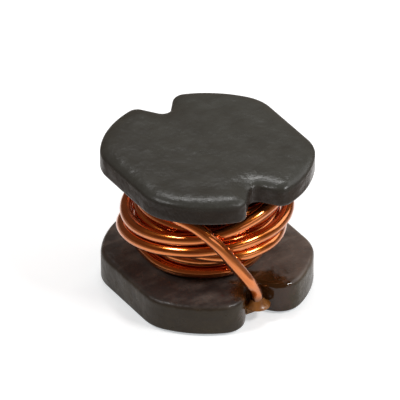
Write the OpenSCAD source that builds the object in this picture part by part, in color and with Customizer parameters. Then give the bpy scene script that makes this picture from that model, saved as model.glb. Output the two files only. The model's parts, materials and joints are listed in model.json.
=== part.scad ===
// Wire-wound drum core choke for surface mounting.
// A pressed ferrite drum carries one enamelled copper wire, wound in three layers.
// Each end of the wire drops into a notch of the base flange and is soldered to a tinned terminal.
// The origin is at the middle of the underside, +Z is up, the flats face +Y and -Y, and the notch
// of the finish lead is at +X.

/* [Core] */
// Length of the drum across its two rounded ends
core_length = 4.5; // [4.3:0.05:5]
// Width of the drum across its two flats
core_width = 4.05; // [3.8:0.05:4.3]
// Radius that blends a flat into a rounded end
flat_blend_r = 0.95; // [0.5:0.05:1.2]
// Height from the circuit board to the top face
total_height = 3.3; // [3:0.05:3.8]
// Thickness of the top flange
top_flange_t = 0.53; // [0.4:0.01:0.7]
// Thickness of the base flange
base_flange_t = 0.695; // [0.55:0.005:0.8]
// Diameter of the post that carries the winding
post_d = 2.0; // [1.8:0.05:2.1]
// Distance by which the soft rim of the top face runs in from the side of the flange
top_edge_run = 0.35; // [0.05:0.01:0.4]
// Distance by which that rim drops from the top face
top_edge_drop = 0.16; // [0.05:0.01:0.22]
// Radius of the rim of the upper face of the base
base_edge_r = 0.11; // [0.03:0.01:0.14]
// Radius that breaks the other rims of the flanges
rim_edge_r = 0.05; // [0.02:0.01:0.1]
// Chamfer where the post meets a flange
root_chamfer = 0.05; // [0.02:0.01:0.06]

/* [Notches] */
// Angle between the two flanks of a notch
notch_angle = 76; // [70:2:90]
// Radius of the floor of a notch
notch_floor_r = 0.19; // [0.17:0.01:0.25]
// Distance from the axis to the floor of a notch in the top flange
top_notch_floor = 1.7; // [1.6:0.02:1.74]
// Radius of the shoulders of a notch in the top flange
top_shoulder_r = 0.28; // [0.24:0.01:0.36]
// Least radius of a shoulder, where it runs out into the top face
lip_shoulder_r = 0.12; // [0.06:0.01:0.18]
// Distance by which the notches of the top flange stand off the middle of the width
top_notch_offset = 0.05; // [0:0.01:0.1]
// Distance from the axis to the floor of a notch in the base flange
base_notch_floor = 1.58; // [1.54:0.02:1.64]
// Radius of the shoulders of a notch in the base flange
base_shoulder_r = 0.5; // [0.3:0.02:0.54]
// Distance by which the notches of the base flange stand off the middle of the width
base_notch_offset = 0.09; // [0:0.01:0.1]

/* [Winding] */
// Diameter of the wire over its enamel
wire_d = 0.27; // [0.23:0.005:0.27]
// Least room between neighbouring turns, and between layers
turn_gap = 0.006; // [0.004:0.001:0.02]
// Room between the wire and the core
core_gap = 0.01; // [0.005:0.001:0.03]
// Room between a lead and the floor of its notch
lead_standoff = 0.12; // [0.08:0.01:0.14]
// Height of the trimmed wire ends above the board
lead_end_z = 0.32; // [0.2:0.01:0.4]

/* [Terminals and joints] */
// Thickness of a tinned terminal
terminal_t = 0.04; // [0.03:0.01:0.12]
// Bare ferrite between the two terminals
terminal_spacing = 1.9; // [1.2:0.1:2.4]
// Bare ferrite between a terminal and the rim of the base, and round its notch
terminal_margin = 0.14; // [0.06:0.01:0.2]
// Thickness of the solder on the floor of a notch
solder_t = 0.06; // [0.05:0.01:0.1]
// Height of the cone of solder below the end of a wire
solder_cone_h = 0.12; // [0.08:0.01:0.16]
// Radius of that cone at the end of the wire
solder_cone_r = 0.22; // [0.2:0.01:0.24]
// Radius of the drop of resin round the end of a lead
resin_r = 0.25; // [0.23:0.01:0.28]
// Height of the resin above the end of the wire
resin_h = 0.14; // [0.1:0.01:0.16]
// Room around the solder and the resin
joint_gap = 0.006; // [0.002:0.001:0.015]

/* [Hidden] */

// Steps on the arcs of the flange outline and of its rounded rims
floor_steps = 7;
shoulder_steps = 10;
end_steps = 5;
blend_steps = 5;
rim_steps = 2;
base_edge_steps = 3;
top_edge_steps = 6;

// Heights of the winding window
window_low = terminal_t + base_flange_t;
window_high = total_height - top_flange_t;

// Centres of the arcs that make up the outline of a flange
end_r = core_length / 2;
blend_y = core_width / 2 - flat_blend_r;
blend_x = sqrt(pow(end_r - flat_blend_r, 2) - pow(blend_y, 2));
blend_angle = atan2(blend_y, blend_x);
flank = notch_angle / 2;

// Notches of the two flanges: distance to the centre of the floor, shoulder radius, offset
top_notch = [top_notch_floor + notch_floor_r, top_shoulder_r, top_notch_offset];
base_notch = [base_notch_floor + notch_floor_r, base_shoulder_r, base_notch_offset];

// Points on an arc, both ends included
function arc(centre, r, from, to, steps) =
    [for (k = [0:steps])
        let (a = from + (to - from) * k / steps)
        centre + r * [cos(a), sin(a)]];

function reversed(list) = [for (k = [len(list) - 1:-1:0]) list[k]];

function mirrored_x(points) = [for (p = reversed(points)) [-p.x, p.y]];

function mirrored_y(points) = [for (p = reversed(points)) [p.x, -p.y]];

// Neighbouring arcs share their ends, so each repeated point is dropped
same_point = 1e-6;
function without_repeats(points) =
    [for (k = [0:len(points) - 1])
        if (norm(points[k] - points[(k + 1) % len(points)]) > same_point) points[k]];

// Radius of the shoulder of a notch, taken in by inset
function shoulder_r(notch, inset) = max(notch[1] - inset, lip_shoulder_r);

// Centre of that shoulder, on the side towards +Y or -Y: it touches the flank and the round end
function shoulder(notch, inset, side) =
    let (
        r = shoulder_r(notch, inset),
        way = [cos(flank), sin(flank)],
        foot = [notch[0], side * notch[2]] + (notch_floor_r + inset + r) * [-sin(flank), cos(flank)],
        near = foot * way
    )
    foot + (sqrt(near * near - foot * foot + pow(end_r - inset - r, 2)) - near) * way;

function bearing(p) = atan2(p.y, p.x);

// One side of a notch, from the middle of its floor out to the rim, taken in by inset
function notch_side(notch, inset, side) =
    let (s = shoulder(notch, inset, side))
    concat(
        arc([notch[0], side * notch[2]], notch_floor_r + inset, 180, 90 + flank, floor_steps),
        arc(s, shoulder_r(notch, inset), flank - 90, bearing(s), shoulder_steps)
    );

// All that a notch cuts from the round end of a flange, taken in by inset
function notch_outline(notch, inset) =
    let (
        left = bearing(shoulder(notch, inset, 1)),
        right = bearing(shoulder(notch, inset, -1))
    )
    without_repeats(concat(
        mirrored_y(notch_side(notch, inset, -1)),
        notch_side(notch, inset, 1),
        arc([0, 0], end_r - inset, left, -right, end_steps)
    ));

// A quarter of a flange: from the middle of the notch floor round to the middle of a flat
function quarter(notch, inset, side) =
    concat(
        notch_side(notch, inset, side),
        arc([0, 0], end_r - inset, bearing(shoulder(notch, inset, side)), blend_angle, end_steps),
        arc([blend_x, blend_y], flat_blend_r - inset, blend_angle, 90, blend_steps)
    );

function long_side(notch, inset, side) =
    concat(quarter(notch, inset, side), mirrored_x(quarter(notch, inset, side)));

function flange_outline(notch, inset) = without_repeats(
    concat(long_side(notch, inset, 1), mirrored_y(long_side(notch, inset, -1))));

// Closed skin over rings of equally many points
module skin(rings) {
    m = len(rings[0]);
    last = len(rings) - 1;
    faces = concat(
        [[for (j = [0:m - 1]) j]],
        [for (i = [0:last - 1], j = [0:m - 1])
            [(i + 1) * m + j, (i + 1) * m + (j + 1) % m, i * m + (j + 1) % m, i * m + j]],
        [[for (j = [m - 1:-1:0]) last * m + j]]
    );
    polyhedron([for (ring = rings, p = ring) p], faces, convexity = 8);
}

// Insets and heights of the rings round a rounded rim, from the side of the flange to its face
function rim(face_z, run, drop, steps) =
    [for (k = [0:steps])
        let (a = 90 * k / steps)
        [run * (1 - cos(a)), face_z - drop * (1 - sin(a))]];

// A flange with rounded rims, lofted through insets of its outline
module flange(notch, low, upper_rim) {
    sections = concat(reversed(rim(low, rim_edge_r, -rim_edge_r, rim_steps)), upper_rim);
    skin([for (s = sections) [for (p = flange_outline(notch, s[0])) [p.x, p.y, s[1]]]]);
}

// The post, with chamfered roots that run on into the flanges
module post() {
    root_depth = min(base_flange_t, top_flange_t) / 2;
    root_r = post_d / 2 + root_chamfer + root_depth;
    rotate_extrude($fn = 96)
        polygon([
            [0, window_low - root_depth],
            [root_r, window_low - root_depth],
            [post_d / 2, window_low + root_chamfer],
            [post_d / 2, window_high - root_chamfer],
            [root_r, window_high + root_depth],
            [0, window_high + root_depth]
        ]);
}

module drum_core() {
    color("#3d3b37")
    union() {
        flange(base_notch, terminal_t, rim(window_low, base_edge_r, base_edge_r, base_edge_steps));
        flange(top_notch, window_high, rim(total_height, top_edge_run, top_edge_drop, top_edge_steps));
        post();
    }
}

// Rows and layers of the winding: the inner layer climbs the rows, the middle layer comes half way down
row_low = window_low + core_gap + wire_d / 2;
row_high = window_high - core_gap - wire_d / 2;
rows = floor((row_high - row_low) / (wire_d + turn_gap));
layer_r = [for (k = [0:3]) post_d / 2 + core_gap + wire_d / 2 + k * (wire_d + turn_gap)];

// Place of a lead in its notch
lead_x = base_notch_floor + lead_standoff + wire_d / 2;
lead_r = norm([lead_x, base_notch_offset]);
lead_angle = atan2(base_notch_offset, lead_x);

// Heights by their share of the way up the winding window, and up a lead to the lowest row
function window_z(share) = row_low + share * (row_high - row_low);
function lead_z(share) = lead_end_z + share * (row_low - lead_end_z);

// Distance from the axis by the share of the way out from the outer layer
function outer_r(share) = layer_r[2] + share * (layer_r[3] - layer_r[2]);

// Angles of the winding, counted on from turn to turn, with the front of the drum at whole turns
start_angle = 180 - lead_angle;
lead_in_angle = 140;
change_angle = 90;
middle_turn_count = 4;
inner_end = start_angle + lead_in_angle + 360 * rows;
front = 360 * (rows + middle_turn_count + 2);
finish_angle = front + 720 + lead_angle;

// The first and last stations lie past the trimmed ends of the wire by the reach of the easing
ease_angle = 6;
// Start lead: way along the wire, angle past the notch, share of the way in to the post, and up
start_lead = [
    [-56, 0, 0, -0.33], [-39, 0, 0, 0.6], [-31, 2.5, 0, 1.08], [-20, 12, 0.03, 1.08], [0, 26, 0.25, 1],
    [79, 79, 0.76, 1], [110, 110, 0.87, 1], [lead_in_angle, lead_in_angle, 1, 1]
];
// End of the middle layer: angle from the front, share of the way up the window
middle_end = [-405, 0.375];
// Outer turns as they were laid by hand: angle from the front, share of the way out to the next layer,
// share of the way up the window
outer_turns = [
    [-366, 0, 0.395], [-340, 0, 0.405], [-332, -0.15, 0.4], [-315, -0.48, 0.367], [-290, -0.63, 0.338],
    [-270, -0.63, 0.325], [-160, -0.45, 0.262], [-140, 0.1, 0.27], [-122, 0.36, 0.29], [-93, 0.25, 0.375],
    [-84, 0.15, 0.395], [-54, 0, 0.47], [-28, 0, 0.53], [0, 0, 0.57], [60, 0, 0.57],
    [200, 0, 0.51], [240, 0.05, 0.5], [263, 0.05, 0.535], [276, 0.05, 0.565], [306, 0, 0.64],
    [323, 0, 0.69], [339, 0, 0.76], [360, 0, 0.86], [376, 0, 0.93], [400, 0, 0.98],
    [430, 0, 1], [590, 0, 1]
];
// Finish lead across the front: way past the outer turns, angle short of the notch, share of the way
// out over them, share of the way up
finish_lead = [
    [60, 64, 0, 1], [86, 43, 0.75, 0.95], [97, 36, 1, 0.86], [117, 26, 1, 0.64], [158, 7, 1, 0.06]
];
// Foot of the finish lead: way past the outer turns, angle short of the notch, share of the way up
finish_foot = [[166, 2.8, 0.78], [171, 0, 0.55], [186, 0, -0.365]];
finish_from = outer_turns[len(outer_turns) - 1][0];

// Stations along the wire: way along it, angle, distance from the axis, height
stations = concat(
    [for (s = start_lead)
        [s[0], start_angle + s[1], lead_r + s[2] * (layer_r[0] - lead_r), lead_z(s[3])]],
    [for (s = [
        [inner_end, layer_r[0], row_high],
        [inner_end + change_angle, layer_r[1], row_high],
        [front + middle_end[0], layer_r[1], window_z(middle_end[1])]
    ]) [s[0] - start_angle, s[0], s[1], s[2]]],
    [for (s = outer_turns)
        [front + s[0] - start_angle, front + s[0], outer_r(s[1]), window_z(s[2])]],
    [for (s = finish_lead)
        [front + finish_from + s[0] - start_angle, finish_angle - s[1],
            outer_r(s[2]), window_z(s[3])]],
    [for (s = finish_foot)
        [front + finish_from + s[0] - start_angle, finish_angle - s[1], lead_r, lead_z(s[2])]]
);
wire_from = stations[0][0] + ease_angle;
wire_to = stations[len(stations) - 1][0] - ease_angle;
columns = [for (c = [1:3]) [for (s = stations) [s[0], s[c]]]];

// A column's value at one place, averaged over a short stretch so that the wire bends smoothly
ease = [for (k = [-2:2]) k * ease_angle / 2];
function eased(way, column) =
    let (near = [for (e = ease) lookup(way + e, columns[column])])
    near * [for (e = ease) 1 / len(ease)];

function wire_point(way) =
    let (a = eased(way, 0), r = eased(way, 1))
    [r * cos(a), r * sin(a), eased(way, 2)];

// Ring of points round the wire at one place, square to its run
wire_sides = 8;
run_angle = 2;
function wire_ring(way) =
    let (
        run = wire_point(min(way + run_angle, wire_to)) - wire_point(max(way - run_angle, wire_from)),
        t = run / norm(run),
        out = [cos(eased(way, 0)), sin(eased(way, 0)), 0],
        across = out - (out * t) * t,
        n = across / norm(across),
        b = cross(t, n)
    )
    [for (k = [0:wire_sides - 1])
        let (a = 360 * (k + 0.5) / wire_sides)
        wire_point(way) + wire_d / 2 * (cos(a) * n + sin(a) * b)];

// Places of the rings: close together on the leads, further apart on the turns
turn_ring_angle = 14;
lead_ring_angle = 4;
start_lead_to = start_lead[4][0];
turns_to = front + finish_from - start_angle;
wire_ways = concat(
    [for (way = [wire_from:lead_ring_angle:start_lead_to - lead_ring_angle / 2]) way],
    [for (way = [start_lead_to:turn_ring_angle:turns_to - turn_ring_angle / 2]) way],
    [for (way = [turns_to:lead_ring_angle:wire_to - lead_ring_angle / 2]) way],
    [wire_to]
);

module winding() {
    color("#b5622b")
    skin([for (way = wire_ways) wire_ring(way)]);
}

// The finish end of the drum is at +X, and the start end is its mirror image
module start_end() { mirror([1, 0, 0]) children(); }

// Part of a notch of the base near its floor, out to a given depth, taken in by inset
module notch_space(inset, depth) {
    intersection() {
        polygon(notch_outline(base_notch, inset));
        translate([0, -core_width / 2])
            square([base_notch_floor + depth, core_width]);
    }
}

// Tinned terminal across one end of the underside, clear of the rim and of the notch
module terminal() {
    color("#c9cbcd")
    linear_extrude(terminal_t)
    intersection() {
        polygon(flange_outline(base_notch, terminal_margin));
        translate([terminal_spacing / 2, -core_width / 2])
            square([end_r, core_width]);
    }
}

// Solder in a notch: a foot beside the terminal, a skin on the floor, and a cone under the wire
module solder() {
    top = lead_end_z - joint_gap;
    color("#b7babd")
    union() {
        linear_extrude(terminal_t - joint_gap)
            notch_space(terminal_margin - joint_gap, solder_t);
        linear_extrude(top)
            notch_space(-joint_gap, solder_t);
        intersection() {
            linear_extrude(top)
                notch_space(-joint_gap, end_r);
            translate([lead_x, base_notch_offset, top - solder_cone_h])
                cylinder(h = solder_cone_h, r1 = 0, r2 = solder_cone_r, $fn = 64);
        }
    }
}

// Drop of amber resin that holds the end of a lead in its notch
module resin() {
    color("#7d4c1b")
    difference() {
        intersection() {
            translate([0, 0, lead_end_z])
                linear_extrude(resin_h)
                notch_space(-joint_gap, end_r);
            translate([lead_x, base_notch_offset, lead_end_z + resin_h - resin_r])
                sphere(resin_r, $fn = 64);
        }
        translate([lead_x, base_notch_offset, 0])
            cylinder(h = window_low, r = wire_d / 2 + joint_gap, $fn = 64);
    }
}

drum_core();
winding();
start_end() terminal();  // terminal_start
terminal();  // terminal_finish
start_end() solder();  // solder_start
solder();  // solder_finish
start_end() resin();  // resin_start
resin();  // resin_finish
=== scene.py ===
# %% [markdown]
# # A drum core choke, a few millimetres long
# The object is a small wire-wound part for a circuit board. A dark ferrite body like a cotton reel
# carries one enamelled copper wire in three layers, and the wire's two ends run down through notches
# in the base to tinned pads on the underside. This lesson rebuilds its looks on top of the exact
# construction model, piece by piece, and then lights it like a catalogue photo.

# %% Load the construction model
import json
import math
import bpy
import numpy as np
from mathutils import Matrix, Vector

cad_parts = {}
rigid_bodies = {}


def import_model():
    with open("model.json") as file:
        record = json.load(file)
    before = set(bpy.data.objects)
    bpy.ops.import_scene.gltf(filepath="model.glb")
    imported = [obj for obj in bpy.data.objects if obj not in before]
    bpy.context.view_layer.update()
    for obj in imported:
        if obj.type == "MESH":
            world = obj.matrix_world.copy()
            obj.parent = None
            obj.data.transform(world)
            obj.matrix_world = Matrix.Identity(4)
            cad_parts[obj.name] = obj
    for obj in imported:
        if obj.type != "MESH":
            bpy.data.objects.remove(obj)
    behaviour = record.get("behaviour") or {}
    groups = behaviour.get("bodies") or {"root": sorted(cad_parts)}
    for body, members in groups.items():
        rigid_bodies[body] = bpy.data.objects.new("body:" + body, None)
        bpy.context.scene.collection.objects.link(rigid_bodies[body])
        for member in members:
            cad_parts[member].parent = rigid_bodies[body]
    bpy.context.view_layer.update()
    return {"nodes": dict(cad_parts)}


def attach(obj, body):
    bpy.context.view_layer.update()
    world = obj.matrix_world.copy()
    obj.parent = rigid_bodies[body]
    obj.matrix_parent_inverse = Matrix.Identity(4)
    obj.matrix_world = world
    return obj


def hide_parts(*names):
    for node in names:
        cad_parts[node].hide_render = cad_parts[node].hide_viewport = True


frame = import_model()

MM = 0.001


# %% [markdown]
# ## The camera
# The photo was taken from so far away, with so long a lens, that parallel edges stay almost parallel.
# An orthographic camera would come close, but a long lens keeps the slight narrowing of a real one:
# the camera stands 150 mm away, with a focal length that gives 47.55 pixels to a millimetre. The part
# sits a little low and to the right in the picture, so the camera aims beside its middle.

# %% Camera
AZIMUTH, ELEVATION = math.radians(58.1), math.radians(33.1)
PIXELS_PER_MM, DISTANCE_MM, SENSOR_MM, PICTURE = 47.55, 150.0, 36.0, 400
MIDDLE_Z, RIGHT_PIXELS, DOWN_PIXELS = 1.552, 7.3, 15.6
CLIP_START, CLIP_END = 0.01, 10.0
scene = bpy.context.scene


def direction(turn, rise):
    return Vector((math.sin(turn) * math.cos(rise), -math.cos(turn) * math.cos(rise), math.sin(rise)))


back = direction(AZIMUTH, ELEVATION)
right = Vector((math.cos(AZIMUTH), math.sin(AZIMUTH), 0.0))
up = back.cross(right)
middle = Vector((0, 0, MIDDLE_Z))
aim = middle - right * RIGHT_PIXELS / PIXELS_PER_MM + up * DOWN_PIXELS / PIXELS_PER_MM

camera = bpy.data.objects.new("camera", bpy.data.cameras.new("camera"))
camera.data.sensor_width = SENSOR_MM
camera.data.lens = PIXELS_PER_MM * DISTANCE_MM * SENSOR_MM / PICTURE
camera.data.clip_start, camera.data.clip_end = CLIP_START, CLIP_END
camera.location = (aim + back * DISTANCE_MM) * MM
camera.rotation_euler = back.to_track_quat("Z", "Y").to_euler()
scene.collection.objects.link(camera)
scene.camera = camera
scene.view_settings.view_transform = "Standard"
print("lens in mm:", round(camera.data.lens, 1))

# %% [markdown]
# ## From points to a mesh
# Nearly every piece here is a skin stretched over rings of points, like the ribs of a boat. One
# helper takes the rings in order, joins each to the next with four-sided faces and closes the two
# ends with a fan to a middle point. Cubes and modifiers could make rough copies of the same shapes,
# but rings keep every size exact. The helper works in millimetres and scales to metres at the end.


# %% Skin helper
def skin(name, rings, closed_ends=True):
    rings = np.asarray(rings, dtype=float)
    count, side = rings.shape[:2]
    points = rings.reshape(-1, 3)
    step = np.arange(side)
    following = (step + 1) % side
    faces = []
    for k in range(count - 1):
        low, high = k * side, (k + 1) * side
        faces += np.column_stack([low + step, low + following, high + following, high + step]).tolist()
    if closed_ends:
        first, last = len(points), len(points) + 1
        points = np.vstack([points, rings[0].mean(axis=0), rings[-1].mean(axis=0)])
        top = (count - 1) * side
        pairs = list(zip(step.tolist(), following.tolist()))
        faces += [[first, b, a] for a, b in pairs]
        faces += [[last, top + a, top + b] for a, b in pairs]
    mesh = bpy.data.meshes.new(name)
    mesh.from_pydata((points * MM).tolist(), [], faces)
    mesh.polygons.foreach_set("use_smooth", [True] * len(mesh.polygons))
    mesh.update()
    piece = bpy.data.objects.new(name, mesh)
    scene.collection.objects.link(piece)
    print(name, "has", len(points), "points and", len(faces), "faces")
    return piece


# %% [markdown]
# ## The outline of the flanges
# Seen from above both flanges are round at the two long ends and cut flat on the two sides. At each
# end a notch opens like a V with a rounded bottom and soft shoulders, and it sits a little off the
# middle. A free curve traced by eye would drift away from these roundings. Each quarter is four arcs
# in the construction model, so it is four arcs here too. Every ring gets the same number of points,
# which lets one ring be joined to any other.

# %% Outline of a flange
LENGTH, WIDTH, FLAT_BLEND = 4.5, 4.05, 0.95
FLANK, FLOOR_R, LIP_R = 38.0, 0.19, 0.12
FLOOR_STEPS, SHOULDER_STEPS, END_STEPS, BLEND_STEPS = 12, 16, 16, 14
END_R = LENGTH / 2
BLEND_Y = WIDTH / 2 - FLAT_BLEND
BLEND_X = math.sqrt((END_R - FLAT_BLEND) ** 2 - BLEND_Y ** 2)
BLEND_ANGLE = math.degrees(math.atan2(BLEND_Y, BLEND_X))
# A notch: distance to the centre of its floor, radius of its shoulders, offset from the middle
TOP_NOTCH = (1.7 + FLOOR_R, 0.28, 0.05)
BASE_NOTCH = (1.58 + FLOOR_R, 0.5, 0.09)


def arc(centre, radius, start, end, steps):
    angle = np.radians(np.linspace(start, end, steps + 1))
    return np.asarray(centre) + radius * np.column_stack([np.cos(angle), np.sin(angle)])


# From the middle of a notch's floor round to the middle of a flat
def quarter(notch, inset, side):
    floor_x, shoulder_r, offset = notch
    floor = np.array([floor_x, side * offset])
    bend = max(shoulder_r - inset, LIP_R)
    lean = math.radians(FLANK)
    way = np.array([math.cos(lean), math.sin(lean)])
    foot = floor + (FLOOR_R + inset + bend) * np.array([-math.sin(lean), math.cos(lean)])
    near = foot @ way
    # The shoulder's arc touches both the flank of the notch and the round end
    shoulder = foot + (math.sqrt(near ** 2 - foot @ foot + (END_R - inset - bend) ** 2) - near) * way
    turn = math.degrees(math.atan2(shoulder[1], shoulder[0]))
    return np.vstack([
        arc(floor, FLOOR_R + inset, 180, 90 + FLANK, FLOOR_STEPS),
        arc(shoulder, bend, FLANK - 90, turn, SHOULDER_STEPS),
        arc((0, 0), END_R - inset, turn, BLEND_ANGLE, END_STEPS)[1:],
        arc((BLEND_X, BLEND_Y), FLAT_BLEND - inset, BLEND_ANGLE, 90, BLEND_STEPS)[1:]])


# All four quarters, in order round the flange
def outline(notch, inset):
    halves = []
    for side in (1, -1):
        part = quarter(notch, inset, side)
        halves.append(np.vstack([part, (part * [-1, 1])[::-1]]))
    return np.vstack([halves[0], (halves[1] * [1, -1])[::-1]])


print("points in an outline:", len(outline(TOP_NOTCH, 0)))

# %% [markdown]
# ## Edges and faces of the ferrite body
# A real drum core is pressed from powder in one piece and fired, so it has soft edges and no seams.
# A bevel modifier would round every edge alike. Here each edge has a size of its own: small under
# the flanges, larger on the base and widest on top. At the two notches of the top the rim is worn
# and runs in still wider, which the photo shows by its broad highlights there.

# %% Helpers for the body
BASE_LOW, WINDOW_LOW, WINDOW_HIGH, TOP = 0.04, 0.735, 2.77, 3.3
TOP_RUN, TOP_DROP = 0.35, 0.16
LIP_RUN, LIP_REACH, LIP_STEPS = 0.55, 0.44, 24


def level(points, z):
    return np.column_stack([points, np.full(len(points), z)])


# Rings over a rounded edge, from the side of the flange to its face
def rounded(notch, run, drop, face_z, steps):
    turn = np.radians(np.linspace(0, 90, steps + 1))
    return [level(outline(notch, run * (1 - math.cos(a))), face_z - drop * (1 - math.sin(a)))
            for a in turn]


# The same for the top, with an edge that runs in wider towards the two notches
def worn_top():
    edge = outline(TOP_NOTCH, 0)
    floor = np.array([TOP_NOTCH[0] - FLOOR_R, TOP_NOTCH[2]])
    apart = np.linalg.norm(np.column_stack([np.abs(edge[:, 0]), edge[:, 1]]) - floor, axis=1)
    run = TOP_RUN + (LIP_RUN - TOP_RUN) * np.exp(-(apart / LIP_REACH) ** 2)
    rings = []
    for inset in LIP_RUN * (1 - np.cos(np.radians(np.linspace(0, 90, LIP_STEPS + 1)))):
        lean = np.clip(1 - inset / run, 0, 1)
        z = TOP - TOP_DROP * (1 - np.sqrt(1 - lean ** 2))
        rings.append(np.column_stack([outline(TOP_NOTCH, inset), z]))
    return rings


# A circle with one point on the bearing of each given point
def circle_like(points, radius):
    return radius * points / np.linalg.norm(points, axis=1)[:, None]


# Rings over a flat face, between its edge and a circle round its middle
def face(notch, inset, z, shares, inner_r):
    edge = outline(notch, inset)
    inner = circle_like(edge, inner_r)
    return [level(edge * (1 - share) + inner * share, z) for share in shares]


print("rings in the worn rim:", len(worn_top()))

# %% [markdown]
# ## The ferrite body
# The skin starts at the middle of the underside, runs out to the rim, up and in over the base, up
# the post, out under the top flange, round its soft upper edge and in to the middle of the top. A
# profile spun round an axis would be quicker to make, but it would lose the flats and the notches.
# Rings near each edge stand close together so that flat faces stay flat and only the edges look
# rounded. A very slight unevenness, a few thousandths of a millimetre, keeps the fired surface from
# looking machined.

# %% Ferrite body
POST_R, ROOT, MIDDLE_R = 1.0, 0.05, 0.15
RIM_R, RIM_STEPS, BASE_EDGE, BASE_EDGE_STEPS = 0.05, 5, 0.11, 8
HOLD, UNEVEN, FINER = 0.03, 0.003, 0.6
BASE_SIDE_Z, TOP_SIDE_Z = (0.12, 0.25, 0.4, 0.55, 0.605), (2.85, 2.95, 3.05, 3.12)
POST_Z = (WINDOW_LOW + ROOT, 1.4, 2.1, WINDOW_HIGH - ROOT)
# Shares of the way in from the edge of a face: from its middle out, and from the edge to the post
to_edge = [0.92, 0.84, 0.75, 0.66, 0.57, 0.48, 0.39, 0.3, 0.21, 0.13, 0.06, 0]
to_root = to_edge[::-1] + [0.97, 1]


# A long and a shorter wave on each axis; their exact lengths and phases have no meaning
def uneven(points):
    x, y, z = np.moveaxis(points, -1, 0)
    sway = [np.sin(2.3 * y + 1.1 * z + 0.4) + np.sin(5.1 * x - 3.7 * y + 2.0) * FINER,
            np.sin(2.7 * x - 1.3 * z + 1.9) + np.sin(4.3 * y + 4.7 * x + 0.7) * FINER,
            np.sin(2.1 * x + 1.7 * y) + np.sin(4.9 * x - 4.1 * y + 1.2) * FINER]
    return points + UNEVEN * np.stack(sway, axis=-1)


rings = face(BASE_NOTCH, RIM_R + HOLD, BASE_LOW, to_edge, MIDDLE_R)
rings += rounded(BASE_NOTCH, RIM_R, -RIM_R, BASE_LOW, RIM_STEPS)[::-1]
rings += [level(outline(BASE_NOTCH, 0), z) for z in BASE_SIDE_Z]
rings += rounded(BASE_NOTCH, BASE_EDGE, BASE_EDGE, WINDOW_LOW, BASE_EDGE_STEPS)
rings += face(BASE_NOTCH, BASE_EDGE + HOLD, WINDOW_LOW, to_root, POST_R + ROOT)
rings += [level(circle_like(outline(BASE_NOTCH, RIM_R), POST_R), z) for z in POST_Z]
rings += face(TOP_NOTCH, RIM_R + HOLD, WINDOW_HIGH, to_root[::-1], POST_R + ROOT)
rings += rounded(TOP_NOTCH, RIM_R, -RIM_R, WINDOW_HIGH, RIM_STEPS)[::-1]
rings += [level(outline(TOP_NOTCH, 0), z) for z in TOP_SIDE_Z]
rings += worn_top()
rings += face(TOP_NOTCH, LIP_RUN + HOLD, TOP, to_edge[::-1], MIDDLE_R)
print("rings in the body:", len(rings))

core = skin("core", uneven(np.array(rings)))
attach(core, "root")
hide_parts("drum_core")

# %% [markdown]
# ## The wire's route
# One wire makes the whole winding. It comes up through the rear notch, winds up the post, comes down
# again over itself, climbs once more in a few loose outer turns and then crosses in front of them
# down to the front notch. A plain helix would look too neat, so the route is a list of stations. Each
# gives the way along the wire, the angle round the post, the radius and the height, and between
# stations everything changes evenly.

# %% Route of the wire
WIRE_R, LEAD_END = 0.135, 0.32
LAYER = (1.145, 1.421, 1.697, 1.973)
ROW_LOW, ROW_HIGH, ROWS, MIDDLE_TURNS = 0.88, 2.625, 6, 4
LEAD_X, LEAD_Y = 1.835, 0.09
LEAD_ANGLE = math.degrees(math.atan2(LEAD_Y, LEAD_X))
LEAD_R = math.hypot(LEAD_X, LEAD_Y)
# Angles over which the wire runs in to the post and changes layer; end and height of its middle layer
LEAD_IN, CHANGE, MIDDLE_END, MIDDLE_RISE = 140, 90, -405, 0.375

start = 180 - LEAD_ANGLE
inner_end = start + LEAD_IN + 360 * ROWS
front = 360 * (ROWS + MIDDLE_TURNS + 2)
finish = front + 720 + LEAD_ANGLE


def window_z(share):
    return ROW_LOW + share * (ROW_HIGH - ROW_LOW)


def lead_z(share):
    return LEAD_END + share * (ROW_LOW - LEAD_END)


def outer_r(share):
    return LAYER[2] + share * (LAYER[3] - LAYER[2])


print("the wire turns round the post", round((finish - start) / 360, 2), "times")

# %% [markdown]
# ## Stations along the wire
# The start lead, the outer turns and the finish lead were laid by hand on the real part, so their
# stations follow the photo where it shows them, and are guessed at the rear. Plain coordinates would
# do, but here they are shares: of the way in to the post, of the way out to the next layer, and of
# the way up. That way they keep their place if a size changes.

# %% Stations
# Way along the wire, angle past the notch, share of the way in to the post, share of the way up
start_lead = [(-56, 0, 0, -0.33), (-39, 0, 0, 0.6), (-31, 2.5, 0, 1.08), (-20, 12, 0.03, 1.08),
              (0, 26, 0.25, 1), (79, 79, 0.76, 1), (110, 110, 0.87, 1), (LEAD_IN, LEAD_IN, 1, 1)]
# Angle, radius and height
layers = [(inner_end, LAYER[0], ROW_HIGH), (inner_end + CHANGE, LAYER[1], ROW_HIGH),
          (front + MIDDLE_END, LAYER[1], window_z(MIDDLE_RISE))]
# Angle from the front, share of the way out to the next layer, share of the way up
outer_turns = [(-366, 0, 0.395), (-340, 0, 0.405), (-332, -0.15, 0.4), (-315, -0.48, 0.367),
               (-290, -0.63, 0.338), (-270, -0.63, 0.325), (-160, -0.45, 0.262), (-140, 0.1, 0.27),
               (-122, 0.36, 0.29), (-93, 0.25, 0.375), (-84, 0.15, 0.395), (-54, 0, 0.47),
               (-28, 0, 0.53), (0, 0, 0.57), (60, 0, 0.57), (200, 0, 0.51), (240, 0.05, 0.5),
               (263, 0.05, 0.535), (276, 0.05, 0.565), (306, 0, 0.64), (323, 0, 0.69),
               (339, 0, 0.76), (360, 0, 0.86), (376, 0, 0.93), (400, 0, 0.98), (430, 0, 1),
               (590, 0, 1)]
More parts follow.
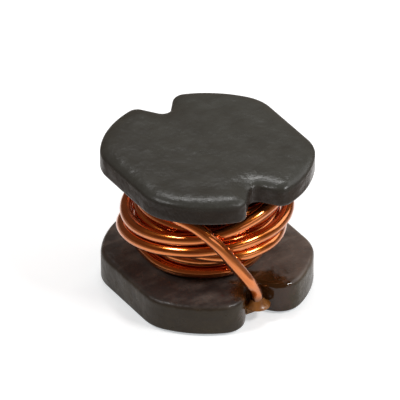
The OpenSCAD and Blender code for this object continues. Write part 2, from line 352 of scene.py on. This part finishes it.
# Way past the outer turns, angle short of the notch, share of the way out (not at the foot), and up
finish_lead = [(60, 64, 0, 1), (86, 43, 0.75, 0.95), (97, 36, 1, 0.86), (117, 26, 1, 0.64),
               (158, 7, 1, 0.06)]
finish_foot = [(166, 2.8, 0.78), (171, 0, 0.55), (186, 0, -0.365)]
outer_end = front + outer_turns[-1][0]

stations = [(way, start + turn, LEAD_R + inward * (LAYER[0] - LEAD_R), lead_z(rise))
            for way, turn, inward, rise in start_lead]
stations += [(angle - start, angle, radius, z) for angle, radius, z in layers]
stations += [(front + turn - start, front + turn, outer_r(outward), window_z(rise))
             for turn, outward, rise in outer_turns]
stations += [(outer_end + way - start, finish - short, outer_r(outward), window_z(rise))
             for way, short, outward, rise in finish_lead]
stations += [(outer_end + way - start, finish - short, LEAD_R, lead_z(rise))
             for way, short, rise in finish_foot]
stations = np.array(stations)
print("stations:", len(stations))

# %% [markdown]
# ## The wire itself
# A tube follows the route: every three degrees a ring of twenty points stands square to the wire. A
# running mean over a few degrees takes the corners off the route, as the stiffness of real wire
# does. A curve with a round bevel would do as well, but its profile can twist in tight bends.
# The radius is the construction model's, so neighbouring turns keep the same small gap.

# %% Winding
RING_SIDES, RING_ANGLE, EASE, END_SLACK = 20, 3.0, 6.0, 0.01
way = np.arange(stations[0, 0] + EASE, stations[-1, 0] - EASE + END_SLACK, RING_ANGLE)


def eased(column):
    shifts = np.array([-EASE, -EASE / 2, 0, EASE / 2, EASE])
    places, values = stations[:, 0], stations[:, column]
    return np.mean([np.interp(way + shift, places, values) for shift in shifts], axis=0)


def unit(vectors):
    return vectors / np.linalg.norm(vectors, axis=1)[:, None]


angle, radius, height = np.radians(eased(1)), eased(2), eased(3)
line = np.column_stack([radius * np.cos(angle), radius * np.sin(angle), height])
along = unit(np.gradient(line, axis=0))
outward = np.column_stack([np.cos(angle), np.sin(angle), np.zeros_like(angle)])
outward = unit(outward - along * np.sum(outward * along, axis=1)[:, None])
across = np.cross(along, outward)
turn = np.linspace(0, 2 * math.pi, RING_SIDES, endpoint=False)
tube = (line[:, None] + WIRE_R * (np.cos(turn)[None, :, None] * outward[:, None]
                                  + np.sin(turn)[None, :, None] * across[:, None]))
coil = skin("coil", tube)
print("wire length in mm:", round(float(np.sum(np.linalg.norm(np.diff(line, axis=0), axis=1))), 1))
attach(coil, "root")
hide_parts("winding")

# %% [markdown]
# ## Resin at the foot of each lead
# A drop of brown resin holds each lead in its notch. Before it set it crept up the wire and out to
# the notch walls, so its surface is hollow like water in a narrow glass. A flattened ball would bulge
# where the real drop is hollow. So rays from the wire find how far the walls are, and the drop is a
# skin of rings between wire and walls, a little higher on some sides of the wire than on others.

# %% Resin drops
RESIN_RISE, RESIN_R, RESIN_GAP = 0.16, 0.28, 0.004
DROP_SIDES, DROP_RINGS, DROP_EDGE, HOLLOW = 64, 12, 0.012, 1.6
CREEP_TWO, CREEP_THREE, CREEP_TURN = 0.10, 0.06, 0.6
WIRE_GAP, LEAST_WIDTH, UNDERCUT, PARALLEL = 0.001, 0.004, 0.98, 1e-9
notch_line = outline(BASE_NOTCH, RESIN_GAP)


# Distance along a ray to the notch's wall, or the limit if that is nearer
def reach(origin, ray, limit):
    a, b = notch_line, np.roll(notch_line, -1, axis=0)
    edge, to = b - a, a - origin
    cross = ray[0] * edge[:, 1] - ray[1] * edge[:, 0]
    cross = np.where(np.abs(cross) < PARALLEL, PARALLEL, cross)
    distance = (to[:, 0] * edge[:, 1] - to[:, 1] * edge[:, 0]) / cross
    share = (to[:, 0] * ray[1] - to[:, 1] * ray[0]) / cross
    hits = distance[(distance > 0) & (share >= 0) & (share <= 1)]
    return min(limit, hits.min()) if len(hits) else limit


def resin_drop(name, end):
    origin = np.array([end * LEAD_X, LEAD_Y])
    bearing = np.linspace(0, 2 * math.pi, DROP_SIDES, endpoint=False)
    rays = np.column_stack([np.cos(bearing), np.sin(bearing)])
    inner = WIRE_R + WIRE_GAP
    outer = np.array([max(inner + LEAST_WIDTH, reach(origin, ray, RESIN_R)) for ray in rays])
    # The resin climbs unevenly: a twofold and a threefold wave round the wire
    creep = 1 + CREEP_TWO * np.sin(2 * bearing + CREEP_TURN) + CREEP_THREE * np.sin(3 * bearing)
    drop = []
    for share in np.linspace(0, 1, DROP_RINGS):
        spread_r = inner + (outer - inner) * share
        z = LEAD_END + DROP_EDGE + RESIN_RISE * creep * (1 - share) ** HOLLOW
        drop.append(np.column_stack([origin + rays * spread_r[:, None], z]))
    drop.append(level(origin + rays * (outer * UNDERCUT)[:, None], LEAD_END))
    drop.append(level(origin + rays * inner, LEAD_END))
    piece = skin(name, drop + drop[:1], closed_ends=False)
    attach(piece, "root")
    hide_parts(name.replace("drop", "resin"))
    return piece


drops = [resin_drop("drop_start", -1), resin_drop("drop_finish", 1)]

# %% [markdown]
# ## Materials: nodes
# All finishes are built from nodes, because a node network can be read, changed and made finer at
# will, which a painted picture can't. This helper makes a material with its shader and offers a short
# way to add a node, to join two sockets, to feed or set the shader, and to put the finish on pieces.
# Texture coordinates are scaled so that a noise scale of 1 means about one bump to a millimetre.


# %% Node helper
class PlainFinish:
    def __init__(self, name):
        self.material = bpy.data.materials.new(name)
        self.material.use_nodes = True
        self.tree = self.material.node_tree
        self.shader = self.tree.nodes["Principled BSDF"]
        spot = self.add("ShaderNodeTexCoord")
        scale = self.add("ShaderNodeVectorMath", operation="SCALE")
        scale.inputs["Scale"].default_value = 1 / MM
        self.join(spot.outputs["Object"], scale.inputs[0])
        self.place = scale.outputs[0]

    def add(self, kind, values=None, **settings):
        node = self.tree.nodes.new(kind)
        for key, value in settings.items():
            setattr(node, key, value)
        for key, value in (values or {}).items():
            node.inputs[key].default_value = value
        return node

    def join(self, source, target):
        self.tree.links.new(source, target)

    def feed(self, source, socket_name):
        self.join(source, self.shader.inputs[socket_name])

    def hold(self, **values):
        for key, value in values.items():
            self.shader.inputs[key.replace("_", " ")].default_value = value

    def axes(self):
        node = self.add("ShaderNodeSeparateXYZ")
        self.join(self.place, node.inputs[0])
        return node.outputs

    def put_on(self, *pieces):
        for piece in pieces:
            piece.data.materials.clear()
            piece.data.materials.append(self.material)
        print(self.material.name, "has", len(self.tree.nodes), "nodes")


# %% [markdown]
# ## Materials: networks
# Real finishes share a few traits: they are clouded, they fade from one tint into another, and they
# are never quite smooth. Each trait is a small network of nodes. It could be wired by hand in the
# shader editor for every finish, but with one short name for each network the finishes can be read.


# %% Network helper
class Finish(PlainFinish):
    # The mix node has sockets for every kind of data, and these are the ones for colours
    COLOUR_A, COLOUR_B, COLOUR_OUT = 6, 7, 2
    # Most of a noise lies between these two values
    NOISE_LOW, NOISE_HIGH = 0.3, 0.7

    def noise(self, scale, detail=3.0, rough=0.5, place=None):
        node = self.add("ShaderNodeTexNoise", {"Scale": scale, "Detail": detail, "Roughness": rough})
        self.join(place or self.place, node.inputs["Vector"])
        return node.outputs["Fac"]

    def ramp(self, source, stops):
        node = self.add("ShaderNodeValToRGB")
        while len(node.color_ramp.elements) < len(stops):
            node.color_ramp.elements.new(0.5)
        for element, (position, colour) in zip(node.color_ramp.elements, stops):
            element.position = position
            element.color = (*colour, 1)
        self.join(source, node.inputs["Fac"])
        return node.outputs["Color"]

    def clouded(self, source, dark, light):
        return self.ramp(source, [(self.NOISE_LOW, dark), (self.NOISE_HIGH, light)])

    def blend(self, factor, first, second):
        node = self.add("ShaderNodeMix", data_type="RGBA")
        self.join(factor, node.inputs["Factor"])
        for source, index in ((first, self.COLOUR_A), (second, self.COLOUR_B)):
            if isinstance(source, tuple):
                node.inputs[index].default_value = (*source, 1)
            else:
                self.join(source, node.inputs[index])
        return node.outputs[self.COLOUR_OUT]

    def calc(self, operation, first, second):
        node = self.add("ShaderNodeMath", operation=operation)
        for source, socket in ((first, node.inputs[0]), (second, node.inputs[1])):
            if isinstance(source, (int, float)):
                socket.default_value = source
            else:
                self.join(source, socket)
        return node.outputs[0]

    def between(self, source, low, high, source_low=NOISE_LOW, source_high=NOISE_HIGH):
        node = self.add("ShaderNodeMapRange", {"From Min": source_low, "From Max": source_high,
                                               "To Min": low, "To Max": high})
        self.join(source, node.inputs["Value"])
        return node.outputs["Result"]

    def fade(self, source, full, none):
        node = self.add("ShaderNodeMapRange", {"From Min": full, "From Max": none,
                                               "To Min": 1.0, "To Max": 0.0},
                        interpolation_type="SMOOTHSTEP")
        self.join(source, node.inputs["Value"])
        return node.outputs["Result"]

    def bump(self, source, depth_mm, strength):
        node = self.add("ShaderNodeBump", {"Strength": strength, "Distance": depth_mm * MM})
        self.join(source, node.inputs["Height"])
        self.feed(node.outputs["Normal"], "Normal")


# %% [markdown]
# ## Ferrite tint
# Fired ferrite is a dense dark ceramic with a satin skin, grey on top and browner on the base, where
# it has been handled and varnished. One colour would look like plastic. Two ramps over the height
# give a dark and a light version of that tint, and a cloudy noise, drawn out into streaks along the
# flats, picks between them. On one side the pick leans to the light tint: painted light from there.

# %% Ferrite tint
STREAK_STRETCH, CLOUD_SHARE, PAINTED_SIDE_LIGHT = (1.0, 0.22, 1.0), 1.4, 0.13
MOTTLE_DARK, MOTTLE_LIGHT = 0.9, 1.5
BASE_SIDE, BASE_FACE, FACE_END, RIM_SIDE, RIM_END, TOP_FACE = 0.195, 0.22, 0.26, 0.5, 0.935, 0.975
ferrite = Finish("ferrite")
across_x, across_y, height_z = ferrite.axes()
level_up = ferrite.between(height_z, 0.0, 1.0, 0.0, TOP)

stretch = ferrite.add("ShaderNodeVectorMath", {1: STREAK_STRETCH}, operation="MULTIPLY")
ferrite.join(ferrite.place, stretch.inputs[0])
streak = ferrite.noise(3.6, 5.0, 0.65, stretch.outputs[0])
cloud = ferrite.noise(1.7, 6.0, 0.62)
patches = ferrite.calc("ADD", ferrite.calc("MULTIPLY", cloud, CLOUD_SHARE), streak)
# Painted light: across y the pick leans to the light tint, as if more light fell on that side
patches_and_painted_side_light = ferrite.calc("ADD", patches, ferrite.calc("MULTIPLY", across_y, PAINTED_SIDE_LIGHT))
mottle_and_painted_side_light = ferrite.between(patches_and_painted_side_light, 0.0, 1.0, MOTTLE_DARK, MOTTLE_LIGHT)


def by_height(base_side, base_face, rim, top_face):
    return ferrite.ramp(level_up, [(BASE_SIDE, base_side), (BASE_FACE, base_face), (FACE_END, base_face),
                                   (RIM_SIDE, rim), (RIM_END, rim), (TOP_FACE, top_face)])


dark = by_height(base_side=(0.032, 0.023, 0.013), base_face=(0.039, 0.031, 0.028),
                 rim=(0.024, 0.018, 0.014), top_face=(0.035, 0.0355, 0.031))
light = by_height(base_side=(0.050, 0.037, 0.018), base_face=(0.150, 0.120, 0.102),
                  rim=(0.038, 0.030, 0.024), top_face=(0.053, 0.055, 0.049))
tint = ferrite.blend(mottle_and_painted_side_light, dark, light)
print("ferrite nodes so far:", len(ferrite.tree.nodes))

# %% [markdown]
# ## Varnish on the ferrite
# Round each notch the resin has wetted the base before it set and left a dark, glossy brown stain. It
# could be a piece of its own, but a film that thin has no edge to see. So it is a mask: a distance
# from the lead, made ragged with noise. The mask later darkens the tint, smooths the surface and
# lays a clear coat over it.

# %% Stain round the notches
STAIN_EDGE, STAIN_FADE, STAIN_SHIFT, STAIN_RAGGED = 0.53, 0.2, 0.1, 0.16
STAIN_TOP, STAIN_END = 1.0, 1.2
near = ferrite.add("ShaderNodeCombineXYZ")
ferrite.join(ferrite.calc("ABSOLUTE", across_x, 0), near.inputs[0])
ferrite.join(across_y, near.inputs[1])
apart = ferrite.add("ShaderNodeVectorMath", {1: (LEAD_X, LEAD_Y + STAIN_SHIFT, 0.0)}, operation="DISTANCE")
ferrite.join(near.outputs[0], apart.inputs[0])
waver = ferrite.between(ferrite.noise(4.5, 4.0), -STAIN_RAGGED, STAIN_RAGGED)
ragged = ferrite.calc("ADD", apart.outputs["Value"], waver)
wet = ferrite.between(ragged, 1.0, 0.0, STAIN_EDGE, STAIN_EDGE + STAIN_FADE)
low_down = ferrite.between(height_z, 1.0, 0.0, STAIN_TOP, STAIN_END)
stain = ferrite.calc("MULTIPLY", wet, low_down)
print("ferrite nodes with the stain:", len(ferrite.tree.nodes))

# %% [markdown]
# ## Ferrite surface
# The fired skin is glossy in some patches and dull in others, and it has shallow lumps, small pits
# and a fine grain. These are a few thousandths of a millimetre deep, far too fine for the mesh, so
# they are a bump map: three noises of different size added up.

# %% Ferrite surface
STAIN_TINT, STAIN_SMOOTH, STAIN_COAT = (0.045, 0.018, 0.005), 0.2, 0.35
DULL, GLOSSY, PATCH_LOW, PATCH_HIGH = 0.33, 0.23, -0.06, 0.08
LUMP_DEPTH, PIT_DEPTH, GRAIN_MM, GRAIN_STRENGTH = 8.0, 3.2, 0.004, 0.7
skin_rough = ferrite.calc("ADD", ferrite.between(mottle_and_painted_side_light, DULL, GLOSSY, 0.0, 1.0),
                          ferrite.between(ferrite.noise(2.4, 2.0), PATCH_LOW, PATCH_HIGH))
smoothed = ferrite.calc("SUBTRACT", skin_rough, ferrite.calc("MULTIPLY", stain, STAIN_SMOOTH))
ferrite.feed(ferrite.blend(stain, tint, STAIN_TINT), "Base Color")
ferrite.feed(smoothed, "Roughness")
ferrite.feed(ferrite.calc("MULTIPLY", stain, STAIN_COAT), "Coat Weight")
ferrite.hold(Specular_IOR_Level=0.32, Coat_Roughness=0.1)
lumps = ferrite.calc("MULTIPLY", ferrite.noise(3.2, 0.5), LUMP_DEPTH)
pits = ferrite.calc("MULTIPLY", ferrite.noise(8.5, 1.0), PIT_DEPTH)
grain = ferrite.noise(34.0, 3.0, 0.6)
ferrite.bump(ferrite.calc("ADD", ferrite.calc("ADD", lumps, pits), grain), GRAIN_MM, GRAIN_STRENGTH)
ferrite.put_on(core)

# %% [markdown]
# ## Enamelled copper
# The wire is bright copper under a hard clear varnish of a warm tint. An orange plastic would lack
# the deep colour of its reflections. So the metal gives the orange, and a dense coat on top of it
# gives the white, sharp highlights. Near the foot the wire is soaked in resin and turns dark brown.

# %% Copper finish
SOAKED_TINT, SOAKED_TO, CLEAN_FROM = (0.16, 0.055, 0.012), 0.46, 0.70
copper = Finish("enamelled_copper")
tone = copper.noise(2.2, 3.0)
metal = copper.clouded(tone, (0.69, 0.168, 0.012), (0.80, 0.220, 0.024))
soaked = copper.fade(copper.axes()[2], SOAKED_TO, CLEAN_FROM)
copper.feed(copper.blend(soaked, metal, SOAKED_TINT), "Base Color")
copper.feed(copper.between(tone, 0.18, 0.24), "Roughness")
copper.hold(Metallic=1.0, Coat_Weight=1.0, Coat_Roughness=0.12, Coat_IOR=1.65)
copper.bump(copper.noise(9.0, 2.0), 0.003, 0.4)
copper.put_on(coil)

# %% [markdown]
# ## Resin, tin and solder
# The resin is a dark amber that has lost some of its gloss. The pads are tinned and dull, and the
# solder at the wire ends is stained brown by the resin over it. All three are a clouded tint with
# a clouded gloss, so one function makes them. Pads and solder keep the construction model's own
# mesh, which is true enough for pieces that hardly show.


# %% Resin, tin and solder finishes
def clouded_finish(name, tint_noise, dark, light, gloss_noise, rough_low, rough_high):
    made = Finish(name)
    made.feed(made.clouded(made.noise(*tint_noise), dark, light), "Base Color")
    made.feed(made.between(made.noise(gloss_noise), rough_low, rough_high), "Roughness")
    return made


resin = clouded_finish("resin", (5.0, 3.0), (0.17, 0.058, 0.010), (0.31, 0.125, 0.028),
                       gloss_noise=12.0, rough_low=0.25, rough_high=0.4)
resin.hold(Coat_Weight=0.08, Coat_Roughness=0.15)
resin.put_on(*drops)

tin = clouded_finish("tin", (6.0, 4.0), (0.55, 0.54, 0.51), (0.68, 0.67, 0.64),
                     gloss_noise=14.0, rough_low=0.32, rough_high=0.48)
tin.hold(Metallic=1.0)
tin.bump(tin.noise(20.0), 0.004, 0.5)
tin.put_on(frame["nodes"]["terminal_start"], frame["nodes"]["terminal_finish"])

solder = clouded_finish("solder", (6.0, 3.0), (0.38, 0.19, 0.07), (0.52, 0.30, 0.13),
                        gloss_noise=10.0, rough_low=0.32, rough_high=0.5)
solder.hold(Metallic=0.2)
solder.bump(solder.noise(16.0), 0.004, 0.5)
solder.put_on(frame["nodes"]["solder_start"], frame["nodes"]["solder_finish"])

# %% [markdown]
# ## Floor
# Catalogue photos stand on white. The floor is white paper that looks a little brighter to the camera
# than its light alone would make it, and still keeps the shadow. The light lines under the turns are
# narrow in the photo, as if the wire mirrored a small lit sheet with a darker table round it. A white
# floor without end would wash them out. So rays that come by way of a mirroring surface see the sheet
# only near the part, and the table's colour farther off. The glow is slightly blue, to balance the
# warm surround in the shadow.

# %% Floor
FLOOR_HALF = 400
FLOOR_GLOW, MIRRORED_GLOW, TABLE = 0.48, 0.28, (0.25, 0.23, 0.21)
BESIDE, IN_FRONT, BEHIND = (4.0, 6.2), (3.8, 5.8), (11.2, 14.0)
corners = [(x * FLOOR_HALF * MM, y * FLOOR_HALF * MM, 0) for x, y in ((-1, -1), (1, -1), (1, 1), (-1, 1))]
floor_mesh = bpy.data.meshes.new("floor")
floor_mesh.from_pydata(corners, [], [(0, 1, 2, 3)])
floor = bpy.data.objects.new("floor", floor_mesh)
scene.collection.objects.link(floor)
floor.rotation_euler = (0, 0, AZIMUTH)

paper = Finish("paper")
paper.hold(Roughness=0.9, Specular_IOR_Level=0.1, Emission_Color=(0.95, 1.0, 1.03, 1))
white = paper.clouded(paper.noise(0.2), (0.74, 0.74, 0.74), (0.76, 0.76, 0.76))
sheet_x, sheet_y, _ = paper.axes()
beside = paper.fade(paper.calc("ABSOLUTE", sheet_x, 0), *BESIDE)
in_front = paper.fade(paper.calc("MULTIPLY", sheet_y, -1), *IN_FRONT)
behind = paper.fade(sheet_y, *BEHIND)
lit_sheet = paper.calc("MULTIPLY", paper.calc("MULTIPLY", beside, in_front), behind)

rays = paper.add("ShaderNodeLightPath").outputs
mirrored = paper.calc("MAXIMUM", rays["Is Glossy Ray"], rays["Is Transmission Ray"])
seen = paper.calc("MULTIPLY", rays["Is Camera Ray"], FLOOR_GLOW)
seen_mirrored = paper.calc("MULTIPLY", paper.calc("MULTIPLY", mirrored, lit_sheet), MIRRORED_GLOW)
paper.feed(paper.calc("ADD", seen, seen_mirrored), "Emission Strength")
off_sheet = paper.calc("MULTIPLY", mirrored, paper.calc("SUBTRACT", 1.0, lit_sheet))
paper.feed(paper.blend(off_sheet, white, TABLE), "Base Color")
paper.put_on(floor)

# %% [markdown]
# ## Light
# The photo's highlights tell where its lamps stood. A lamp on the left and one on the right leave the
# short white marks on the wire, and a narrow one high up behind draws the lines along the rim and
# the notch of the top. A broad weak one fills from the right, a faint card stands low at the front
# right, and a dim warm surround colours the shadows between the turns. An even sky would light the
# part too, but without these marks. Each lamp's power follows from its share of the light and its
# distance, so that a share of 1 lights white paper fully.

# %% Light
SURROUND_TINT, SURROUND_STRENGTH = (1.0, 0.58, 0.36, 1), 0.12
LAMP_MM, LAMP_AIM_Z = 60, 1.5
# Name, bearing from the camera, height in degrees, width and height in mm, share of the light
LAMPS = [("left", -68, 50, (14, 8), 0.36),
         ("right", 64, 46, (18, 9), 0.49),
         ("above", 180, 62, (30, 8), 0.33),
         ("fill", 115, 34, (40, 36), 0.20),
         ("card", 48, 8, (36, 16), 0.06)]

scene.world = bpy.data.worlds.new("surround")
scene.world.use_nodes = True
surround = scene.world.node_tree.nodes["Background"].inputs
surround["Color"].default_value = SURROUND_TINT
surround["Strength"].default_value = SURROUND_STRENGTH


def soft_box(name, bearing, height, size_mm, share):
    toward = direction(AZIMUTH + math.radians(bearing), math.radians(height))
    lamp = bpy.data.lights.new(name, "AREA")
    lamp.shape, lamp.size, lamp.size_y = "RECTANGLE", size_mm[0] * MM, size_mm[1] * MM
    lamp.energy = share * math.pi ** 2 * (LAMP_MM * MM) ** 2
    box = bpy.data.objects.new(name, lamp)
    box.location = (Vector((0, 0, LAMP_AIM_Z)) + toward * LAMP_MM) * MM
    box.rotation_euler = toward.to_track_quat("Z", "Y").to_euler()
    scene.collection.objects.link(box)
    print(name, "power in W:", round(lamp.energy, 4))


for lamp_values in LAMPS:
    soft_box(*lamp_values)
